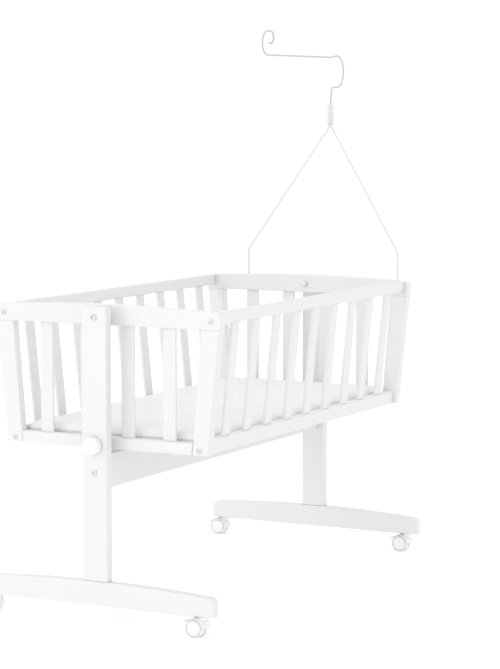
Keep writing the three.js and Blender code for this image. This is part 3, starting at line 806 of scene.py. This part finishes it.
# %% Lock knob
KNOB_RIM = 3.6 * MM  # depth of the domed face at its rim
KNOB_NECK, PIN = 8 * MM, 4 * MM  # radii
KNOB_GAP = 0.5 * MM  # between the knob's back and the post
NECK_GAP = 0.3 * MM

low, high = span("lock_knob")
knob_z = (low[2] + high[2]) / 2
knob_radius = (high[2] - low[2]) / 2
knob_length = high[0] - low[0]
post_face = span("post_lock_end")[0][0]
knob_proud = post_face - low[0]
rings = turned(
    [
        (CENTRE, 0), (0.62 * knob_radius, 0.4 * MM), (knob_radius, KNOB_RIM),
        (knob_radius, knob_proud - 1.2 * MM), (0.95 * knob_radius, knob_proud - KNOB_GAP),
        (KNOB_NECK, knob_proud - KNOB_GAP), (KNOB_NECK, knob_proud - NECK_GAP),
        (PIN, knob_proud - NECK_GAP), (PIN, knob_length), (CENTRE, knob_length),
    ],
    [0, 6 * MM, 3 * MM, 0.3 * MM, 0.3 * MM, 0.2 * MM, 0.2 * MM, 0.2 * MM, 1 * MM, 0],
    sides=64,
)
piece("lock_knob_fine", placed(rings, (low[0], 0, knob_z), Y, Z, X), plastic,
      "lock_knob", ["lock_knob"])
print("knob is", round(2 * knob_radius / MM), "mm across")

# %% [markdown]
# ## Cover caps
#
# Small white plastic caps hide the screws that hold the base board between the bottom rails,
# two on each side.

# %% Cover caps
CAP_RADIUS = 4.5 * MM
CAP_PROUD, CAP_SUNK = 1.6 * MM, 0.5 * MM
CAP_UP_SLOPE = 24 * MM
CAP_PLACES = (-0.235, 0.173)  # along X

for side, sign in SIDES.items():
    origin, up_slope, outward = side_axes(sign)
    for i, x in enumerate(CAP_PLACES, 1):
        rings = turned(
            [(CENTRE, CAP_PROUD), (0.7 * CAP_RADIUS, 1.4 * MM), (CAP_RADIUS, 0.4 * MM),
             (CAP_RADIUS, -CAP_SUNK), (CENTRE, -CAP_SUNK)],
            [0, 1.5 * MM, 0.3 * MM, 0.2 * MM, 0], sides=32,
        )
        seat = origin + up_slope * CAP_UP_SLOPE + X * x
        piece(f"cover_cap_{side}_{i}", placed(rings, seat, X, up_slope, outward), plastic,
              "crib")
print("cover caps are", round(2 * CAP_RADIUS / MM), "mm across")

# %% [markdown]
# ## Casters
#
# Each caster is a twin wheel under a hood. The hood is a curved shell over the back and top
# of both wheels. It hangs on a collar that flares up to the beam, it trails a little behind
# the swivel axis, and its centre web carries the axle. A sloping lever at the front presses on
# the wheels as a brake. Every caster is drawn about its own swivel axis and then set under its
# corner of the stand.

# %% Caster parts
TRAIL = 14 * MM
WHEEL = 19 * MM
WHEEL_INNER, WHEEL_OUTER = 3.3 * MM, 18 * MM  # distances of a wheel's faces from the middle
AXLE = 2 * MM
HOOD_INNER, HOOD_OUTER = 19.8 * MM, 21.4 * MM
HOOD_HALF = 17.5 * MM
HOOD_FROM, HOOD_TO = 55.0, 182.0  # degrees above +Y, seen from the axle
WEB_HALF = 2.9 * MM
BRAKE_ANGLE, BRAKE_REACH = math.radians(32), 23.4 * MM
BRAKE_TIP = 46 * MM
BRAKE_HALF = 9 * MM
BRAKE_THICKNESS = 3.2 * MM
BRAKE_SLOPE = 0.35
BRAKE_HUB, BRAKE_PIN = 2.4 * MM, 1 * MM  # radii
BRAKE_CHEEK = (3.2 * MM, 6.2 * MM)  # a cheek's inner and outer face
COLLAR_FOOT, COLLAR_TOP = 7 * MM, 10.2 * MM  # radii
hub_y = TRAIL + BRAKE_REACH * math.cos(BRAKE_ANGLE)
hub_z = WHEEL + BRAKE_REACH * math.sin(BRAKE_ANGLE)


def arc_points(centre, radius, start, stop, count):
    """Points on a circular arc; angles in degrees."""
    angle = np.radians(np.linspace(start, stop, count))
    circle = np.column_stack([np.cos(angle), np.sin(angle)])
    return np.asarray(centre, float) + radius * circle


def hood_rings():
    """The curved shell: an arc-shaped outline in Y and Z, as wide as both wheels."""
    axle = (TRAIL, WHEEL)
    outer = arc_points(axle, HOOD_OUTER, HOOD_FROM, HOOD_TO, 33)
    inner = arc_points(axle, HOOD_INNER, HOOD_TO, HOOD_FROM, 33)
    return board(np.vstack([outer, inner]), [0.0] * 66, 2 * HOOD_HALF, 0.5 * MM, steps=3)


def web_rings():
    """The centre web between the wheels: from the hood's arc down round the axle boss."""
    axle = (TRAIL, WHEEL)
    outline = np.vstack([
        arc_points(axle, HOOD_INNER + 0.6 * MM, HOOD_FROM, HOOD_TO, 25),
        [(TRAIL - 9 * MM, WHEEL - 7 * MM)],
        arc_points(axle, 8 * MM, 234, 360, 13),
        [(TRAIL + 17 * MM, WHEEL + 8 * MM), (TRAIL + 20 * MM, WHEEL + 13 * MM)],
    ])
    return board(outline, [0.0] * len(outline), 2 * WEB_HALF, 0.4 * MM, steps=2)


def wheel_rings():
    """One wheel, its outer face at height 0 and the web side below: a slightly domed disc, a
    shallow groove and a round tread."""
    width = WHEEL_OUTER - WHEEL_INNER
    profile = [
        (CENTRE, 0.0), (13.0 * MM, -0.35 * MM), (15.6 * MM, -0.7 * MM),
        (15.9 * MM, -1.2 * MM), (16.4 * MM, -1.2 * MM), (16.7 * MM, -0.9 * MM),
        (WHEEL, -2.2 * MM), (WHEEL, 0.4 * MM - width), (WHEEL - 1.0 * MM, -width),
        (CENTRE, -width),
    ]
    radii = [0, 6.0, 0.2, 0.15, 0.15, 0.2, 1.2, 0.3, 0.3, 0]
    return turned(profile, [r * MM for r in radii], sides=56)


def pin_rings(outer, waist, half, waist_half):
    """A pin about the third axis, thinner along its middle."""
    profile = [
        (CENTRE, -half), (outer, -half), (outer, -waist_half), (waist, -waist_half),
        (waist, waist_half), (outer, waist_half), (outer, half), (CENTRE, half),
    ]
    return turned(profile, [0] + [SHARP] * 6 + [0], sides=24)


def brake_rings():
    """The lever's pad: a tongue with a round tip that slopes down from the hub, lower by
    BRAKE_SLOPE times the distance."""
    corners = box_corners((-BRAKE_HALF, hub_y + 3 * MM), (BRAKE_HALF, BRAKE_TIP))
    tip = 3.5 * MM
    rings = board(corners, [1 * MM, 1 * MM, tip, tip], BRAKE_THICKNESS, 1.1 * MM)
    rings[..., 2] -= BRAKE_SLOPE * (rings[..., 1] - hub_y) + BRAKE_THICKNESS / 2
    return rings


print("brake hub at", round(hub_y / MM, 1), round(hub_z / MM, 1), "mm from the swivel axis")

# %% Casters in place
for end in ENDS:
    for side in SIDES:
        name = f"caster_{end}_{side}"
        fork = f"{name}_fork"
        beam_low, beam_high = span(f"floor_beam_{end}_end")
        fork_low = span(fork)[0]
        x = (beam_low[0] + beam_high[0]) / 2
        y = fork_low[1] + (HOOD_OUTER - TRAIL)
        under = beam_low[2] - 0.3 * MM

        piece(f"{name}_hood", placed(hood_rings(), (x - HOOD_HALF, y, 0), Y, Z, X), plastic,
              name, [fork])
        piece(f"{name}_web", placed(web_rings(), (x - WEB_HALF, y, 0), Y, Z, X), plastic,
              name, [fork])
        collar_foot = WHEEL + 0.72 * HOOD_INNER  # inside the hood's arc
        collar = turned(
            [(CENTRE, collar_foot), (COLLAR_FOOT, collar_foot),
             (COLLAR_TOP, under - 4 * MM), (COLLAR_TOP, under), (CENTRE, under)],
            [0, 0.5 * MM, 2 * MM, 0.5 * MM, 0], sides=40,
        )
        piece(f"{name}_collar", placed(collar, (x, y, 0), X, Y, Z), plastic, name, [fork])

        wheels = f"{name}_wheels"
        for place, out in (("near", -1.0), ("far", 1.0)):
            centre = (x + out * WHEEL_OUTER, y + TRAIL, WHEEL)
            piece(f"{wheels}_{place}", placed(wheel_rings(), centre, Y, Z, X * out), plastic,
                  wheels, [wheels])
        axle = turned([(CENTRE, -6 * MM), (AXLE, -6 * MM), (AXLE, 6 * MM),
                       (CENTRE, 6 * MM)], [0, SHARP, SHARP, 0], sides=20)
        piece(f"{wheels}_axle", placed(axle, (x, y + TRAIL, WHEEL), Y, Z, X), plastic,
              wheels, [wheels])

        brake = f"{name}_brake"
        pad = placed(brake_rings(), (x, y, hub_z), X, Y, Z)
        piece(f"{brake}_pad", pad, plastic, brake, [brake])
        pin = pin_rings(BRAKE_HUB, BRAKE_PIN, BRAKE_CHEEK[1], BRAKE_CHEEK[0])
        piece(f"{brake}_pin", placed(pin, (x, y + hub_y, hub_z), Y, Z, X), plastic, brake,
              [brake])
        for place, start in (("near", x - BRAKE_CHEEK[1]), ("far", x + BRAKE_CHEEK[0])):
            arm = board(box_corners((hub_y, hub_z - 1.2 * MM),
                                    (hub_y + 4.5 * MM, hub_z + 1.2 * MM)),
                        [SHARP] * 4, BRAKE_CHEEK[1] - BRAKE_CHEEK[0], 0.4 * MM, steps=2)
            piece(f"{brake}_arm_{place}", placed(arm, (start, y, 0), Y, Z, X), plastic,
                  brake, [brake])
print("casters under the stand at", round(under / MM, 1), "mm")

# %% [markdown]
# ## The canopy holder
#
# Two steel wires carry a canopy over one end. The lower one is a fork: its prongs stand in
# two holes in the end's top rail, and it narrows to a point inside a plastic sleeve. The
# upper one, the hook, stands in the sleeve and leans out on a short neck. It swells in a round
# bulge, dips a little onto a level arm over the crib and ends in a large curl with a small
# end. Each wire lies in one plane, so a tube round it needs no twisting: one side vector is
# the plane's normal, and the other is square to the normal and the path.

# %% Tubes
def tube(path, normal, radius, sides=14, loop=False):
    """Rings of a round tube: point + radius * (cos a * side + sin a * normal), where side is
    the normal crossed with the path's direction."""
    if loop:
        ahead = np.roll(path, -1, 0) - np.roll(path, 1, 0)
    else:
        ahead = np.gradient(path, axis=0)
    side = np.cross(normal, ahead)
    side /= np.linalg.norm(side, axis=1)[:, None]
    angle = np.linspace(0.0, 2 * math.pi, sides, endpoint=False)
    across = side[:, None] * np.cos(angle)[None, :, None]
    along = np.asarray(normal, float) * np.sin(angle)[None, :, None]
    return path[:, None] + radius * (across + along)


def length(path):
    """Length of an open path, rounded to a millimetre."""
    return round(float(np.linalg.norm(np.diff(path, axis=0), axis=1).sum()), 3)


def with_round_ends(rings, path):
    """Closes a tube with small domes: three more rings beyond each end, each narrower."""
    angle = np.radians([30.0, 60.0, 84.0])[:, None, None]
    caps = []
    for end, inner in ((0, 1), (-1, -2)):
        out = unit(path[end] - path[inner])
        spoke = rings[end] - path[end]
        radius = np.linalg.norm(spoke[0])
        caps.append(path[end] + spoke * np.cos(angle) + out * radius * np.sin(angle))
    return np.concatenate([caps[0][::-1], rings, caps[1]])


# %% Canopy fork
WIRE = 2 * MM
SHOULDER = 722 * MM  # height at which the prongs bend inwards
LEG_TURN = 3 * MM
PINCH = 8 * MM  # the legs meet this far below the sleeve
SHOULDER_BEND, PINCH_BEND, TOP_BEND = 14 * MM, 10 * MM, 2.6 * MM

fork_low, fork_high = span("canopy_fork")
sleeve_low, sleeve_high = span("canopy_sleeve")
wire_x = (fork_low[0] + fork_high[0]) / 2
apex = (sleeve_low[1] + sleeve_high[1]) / 2
prongs = (fork_high[1] - WIRE, fork_low[1] + WIRE)
pinch = sleeve_low[2] - PINCH
fork_top = fork_high[2] - WIRE
corners = [
    (prongs[0], fork_low[2] + WIRE), (prongs[0], SHOULDER), (apex + LEG_TURN, pinch),
    (apex + LEG_TURN, fork_top), (apex - LEG_TURN, fork_top), (apex - LEG_TURN, pinch),
    (prongs[1], SHOULDER), (prongs[1], fork_low[2] + WIRE),
]
turns = [0, SHOULDER_BEND, PINCH_BEND, TOP_BEND, TOP_BEND, PINCH_BEND, SHOULDER_BEND, 0]
line = rounded(corners, turns, closed=False, steps=7)
path = np.column_stack([np.full(len(line), wire_x), line])
piece("canopy_fork_fine", with_round_ends(tube(path, X, WIRE), path), fork_coat, "crib",
      ["canopy_fork"])
print("fork wire is", length(path), "m long")

# %% Canopy hook
BULGE = 37.5 * MM
BULGE_SHIFT = 34 * MM  # from the sleeve's axis to the middle of the bulge
ARM_DIP = 4 * MM  # the arm lies this much under the top of the bulge
DIP_LENGTH = 30 * MM
CURL, CURL_END = 27 * MM, 14 * MM  # radii of the large curl and of its small end
CURL_SHIFT = 15 * MM  # from the middle of one to the middle of the other
NECK_BEND = 8 * MM
NECK_LEAN = 5 * MM

hook_low, hook_high = span("canopy_hook")
arm_z = hook_high[2] - WIRE - 2 * CURL
bulge_top = arm_z + ARM_DIP
neck_z = bulge_top - 2 * BULGE
arm_end = hook_low[0] + WIRE + CURL
curl_top = arm_z + 2 * CURL
share = np.linspace(0.1, 1.0, 10)
dip = np.column_stack([
    wire_x + BULGE_SHIFT - DIP_LENGTH * share,
    arm_z + ARM_DIP * (1 + np.cos(math.pi * share)) / 2,
])
neck = (wire_x + NECK_LEAN + NECK_BEND, neck_z - NECK_BEND)
line = np.vstack([
    [(wire_x, hook_low[2] + WIRE), (wire_x, sleeve_high[2] + 2 * MM)],
    arc_points(neck, NECK_BEND, 180, 90, 8),
    arc_points((wire_x + BULGE_SHIFT, neck_z + BULGE), BULGE, -84, 90, 40),
    dip,
    [(wire_x - 120 * MM, arm_z), (arm_end + 20 * MM, arm_z)],
    arc_points((arm_end, arm_z + CURL), CURL, -90, -264, 36),
    arc_points((arm_end + CURL_SHIFT, curl_top - CURL_END), CURL_END, 84, -120, 28),
])
path = np.column_stack([line[:, 0], np.full(len(line), apex), line[:, 1]])
piece("canopy_hook_fine", with_round_ends(tube(path, Y, WIRE), path), hook_coat,
      "canopy_hook", ["canopy_hook"])
print("hook wire is", length(path), "m long")

# %% Sleeve
SLEEVE_RECESS, SLEEVE_MOUTH = 4 * MM, 6 * MM  # depths of the hollows at its foot and its top

sleeve_radius = (sleeve_high[0] - sleeve_low[0]) / 2
sleeve_length = sleeve_high[2] - sleeve_low[2]
mouth = WIRE + 0.4 * MM
rings = turned(
    [
        (CENTRE, SLEEVE_RECESS), (5.4 * MM, SLEEVE_RECESS), (5.6 * MM, 0.0),
        (sleeve_radius, 0.0), (sleeve_radius, sleeve_length), (mouth, sleeve_length),
        (mouth, sleeve_length - SLEEVE_MOUTH), (CENTRE, sleeve_length - SLEEVE_MOUTH),
    ],
    [0, 0.3 * MM, 0.4 * MM, 1.4 * MM, 2.0 * MM, 0.4 * MM, 0.2 * MM, 0], sides=40,
)
piece("canopy_sleeve_fine", placed(rings, (wire_x, apex, sleeve_low[2]), X, Y, Z),
      sleeve_plastic, "crib", ["canopy_sleeve"])
print("sleeve is", round(sleeve_length / MM), "mm long")

# %% [markdown]
# ## The mattress
#
# A cradle mattress is a thin foam pad in a sewn cover. A plain slab would look like a tile,
# so the pad is swollen by a cloth simulation: it starts a little thin and wide, is remeshed
# into even small faces, and air pressure pushes it out while its sides draw in. How far a
# point may move is capped. The result is scaled so that the full cover stands a little past
# the CAD solid and still clears the rails, and it stays flat where it rests on the board.

# %% Pad before it swells
PAD_WIDER = np.array([2.0, 7.0]) * MM  # the start is this much wider on each side
PAD_CORNER = 18 * MM
PAD_EDGE = 13 * MM
PAD_SLACK = 1.5 * MM  # the start is this much thinner than the CAD solid
PAD_OVER = np.array([4.5, 12.0, 5.0]) * MM  # how far the full cover stands past the CAD solid
VOXEL = 6 * MM
SWELL_CAP = 6 * MM
SWELL_FRAMES = 20
WAVE_HEIGHT = 0.7 * MM

low, high = span("mattress")
rings = board(
    box_corners(low[:2] - PAD_WIDER, high[:2] + PAD_WIDER), [PAD_CORNER] * 4,
    high[2] - low[2] - PAD_SLACK, PAD_EDGE,
)
pad = piece("mattress_fine", placed(rings, (0, 0, low[2]), X, Y, Z), cover, "mattress",
            ["mattress"])
bpy.context.view_layer.objects.active = pad
remesh = pad.modifiers.new("even_faces", "REMESH")
remesh.mode = "VOXEL"
remesh.voxel_size = VOXEL
remesh.use_smooth_shade = True
bpy.ops.object.modifier_apply(modifier=remesh.name)
print("pad has", len(pad.data.vertices), "points before it swells")


# %% Swelling
def coordinates(mesh):
    """The vertices of a mesh as an array (points, 3)."""
    points = np.empty(3 * len(mesh.vertices))
    mesh.vertices.foreach_get("co", points)
    return points.reshape(-1, 3)


start = coordinates(pad.data)
cloth = pad.modifiers.new("swell", "CLOTH")
cloth.settings.use_pressure = True
cloth.settings.uniform_pressure_force = 4.0
cloth.settings.effector_weights.gravity = 0.0
cloth.settings.quality = 4
cloth.point_cache.frame_end = SWELL_FRAMES
for moment in range(1, SWELL_FRAMES + 1):
    bpy.context.scene.frame_set(moment)
settled = pad.evaluated_get(bpy.context.evaluated_depsgraph_get())
swollen = coordinates(settled.to_mesh())
settled.to_mesh_clear()
pad.modifiers.remove(cloth)
bpy.context.scene.frame_set(1)

move = swollen - start
far = np.linalg.norm(move, axis=1)
move *= np.minimum(1.0, SWELL_CAP / np.maximum(far, 1e-9))[:, None]
shaped = start + move
# The full cover is scaled to its size: sideways about the middle, upwards from the board.
shaped[:, :2] *= (high[:2] + PAD_OVER[:2]) / shaped[:, :2].max(0)
thickness = high[2] - low[2] + PAD_OVER[2]
shaped[:, 2] = low[2] + (shaped[:, 2] - low[2]) * thickness / (shaped[:, 2].max() - low[2])
# Long low waves that a foam pad keeps: none at its foot, full at its top.
upper = np.clip((shaped[:, 2] - low[2]) / (high[2] - low[2]), 0.0, 1.0)
waves = np.sin(9.0 * shaped[:, 0] + 5.0 * shaped[:, 1]) + 0.6 * np.sin(
    17.0 * shaped[:, 0] - 13.0 * shaped[:, 1] + 1.0
)
shaped[:, 2] += WAVE_HEIGHT * upper * waves
shaped[:, 2] = np.maximum(shaped[:, 2], low[2])
pad.data.vertices.foreach_set("co", shaped.ravel())
pad.data.update()
finer = pad.modifiers.new("finer", "SUBSURF")
finer.levels = 1
finer.render_levels = 1
print("the pad moved by up to", round(float(far.max()) / MM, 1), "mm, capped at",
      round(SWELL_CAP / MM, 1))
print("pad top at", round(float(shaped[:, 2].max()), 4), "m")

# %% [markdown]
# ## The cover's seam
#
# A thin corded seam runs round the pad halfway up, where the two halves of the cover meet.
# It has to lie on the swollen side, so at even steps round the rectangle the seam takes the
# furthest point of the pad in that direction.

# %% Seam
SEAM_RADIUS = 0.9 * MM
SEAM_STEP = 8 * MM
SEAM_SUNK = 0.3 * MM
SMOOTHING = 3  # steps on each side that the seam is averaged over

seam_z = low[2] + 0.5 * thickness
band = shaped[np.abs(shaped[:, 2] - seam_z) < VOXEL]
outline = rounded(box_corners(shaped[:, :2].min(0), shaped[:, :2].max(0)), [PAD_CORNER] * 4)
outline = np.vstack([outline, outline[:1]])
run = np.r_[0.0, np.cumsum(np.linalg.norm(np.diff(outline, axis=0), axis=1))]
even = np.linspace(0.0, run[-1], int(run[-1] / SEAM_STEP), endpoint=False)
line = np.column_stack([np.interp(even, run, outline[:, axis]) for axis in (0, 1)])
along = np.roll(line, -1, 0) - np.roll(line, 1, 0)
along /= np.linalg.norm(along, axis=1)[:, None]
outward = np.column_stack([along[:, 1], -along[:, 0]])
offset = band[None, :, :2] - line[:, None]
near = np.abs((offset * along[:, None]).sum(-1)) < 2 * VOXEL
proud = np.where(near, (offset * outward[:, None]).sum(-1), -1.0).max(1)
print("the side stands out by", round(float(proud.min()) / MM, 1), "to",
      round(float(proud.max()) / MM, 1), "mm")

closed = np.r_[proud[-SMOOTHING:], proud, proud[:SMOOTHING]]
window = np.ones(2 * SMOOTHING + 1) / (2 * SMOOTHING + 1)
proud = np.convolve(closed, window, mode="valid")
path = np.column_stack([
    line + outward * (proud - SEAM_SUNK)[:, None], np.full(len(proud), seam_z)
])
piece("mattress_seam", tube(path, Z, SEAM_RADIUS, sides=10, loop=True), cover, "mattress",
      loop=True)
print("seam is", length(np.vstack([path, path[:1]])), "m long")

# %% [markdown]
# ## CAD pieces that stay
#
# The base board and the pivot spacers are plain shapes that the CAD model already has right.
# They only need their finish, which goes into their material slots.

# %% Finishes of the CAD pieces
kept = {"base_board": hardboard, "pivot_spacer_lock_end": plastic,
        "pivot_spacer_canopy_end": plastic}
for node, finish in kept.items():
    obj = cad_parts[node]
    obj.data.materials.clear()
    obj.data.materials.append(finish.material)
print("CAD pieces kept:", ", ".join(kept))

# %% [markdown]
# ## Floor and light
#
# A white object on white needs soft light from all round, with stronger light on one side so
# that its faces still part. Two softboxes stand to the left of the camera, one high and one
# low, and leave faint soft shadows to the right of each post. A weak one hangs above. The
# floor is pale and plain, and glows a little so that it stays as light as the background.

# %% Floor
FLOOR_HALF = 60.0
FLOOR_GLOW = 0.18

floor_mesh = bpy.data.meshes.new("floor")
floor_mesh.from_pydata(
    [(-FLOOR_HALF, -FLOOR_HALF, 0), (FLOOR_HALF, -FLOOR_HALF, 0),
     (FLOOR_HALF, FLOOR_HALF, 0), (-FLOOR_HALF, FLOOR_HALF, 0)], [], [(0, 1, 2, 3)],
)
floor = bpy.data.objects.new("floor", floor_mesh)
bpy.context.collection.objects.link(floor)
floor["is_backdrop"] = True
pale = Finish("pale_floor", "floor")
pale.done(
    Base_Color=(0.90, 0.90, 0.90, 1.0),
    Roughness=0.9,
    Emission_Color=(1.0, 1.0, 1.0, 1.0),
    Emission_Strength=FLOOR_GLOW,
)
floor_mesh.materials.append(pale.material)

# %% Lights
SKY = 1.03


def softbox(name, place, target, size, watts):
    """A square area light that faces a target."""
    light = bpy.data.lights.new(name, "AREA")
    light.shape = "SQUARE"
    light.size = size
    light.energy = watts
    obj = bpy.data.objects.new(name, light)
    bpy.context.collection.objects.link(obj)
    obj.location = place
    aim = Vector(target) - Vector(place)
    obj.rotation_euler = aim.to_track_quat("-Z", "Y").to_euler()


softbox("key", (-8.0, 5.0, 4.8), (0.0, 0.0, 0.4), 3.2, 84.0)
softbox("low_key", (-9.0, 2.6, 0.8), (0.0, 0.0, 0.3), 2.0, 30.0)
softbox("top", (0.4, 0.4, 4.0), (0.0, 0.0, 0.4), 3.0, 9.0)

world = bpy.data.worlds.new("studio")
world.use_nodes = True
background = world.node_tree.nodes["Background"]
background.inputs["Color"].default_value = (1.0, 1.0, 1.0, 1.0)
background.inputs["Strength"].default_value = SKY
bpy.context.scene.world = world
bpy.context.scene.view_settings.view_transform = "Standard"

# %% [markdown]
# ## Sizes and the end
#
# The shown model should fill the same box as the CAD model; the last cell prints the corners'
# differences.

# %% Finish
new_low, new_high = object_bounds()
for corner, cad, new in (("low", cad_low, new_low), ("high", cad_high, new_high)):
    print(corner, "corner differs by (mm):", [round((b - a) / MM, 1) for a, b in zip(cad, new)])
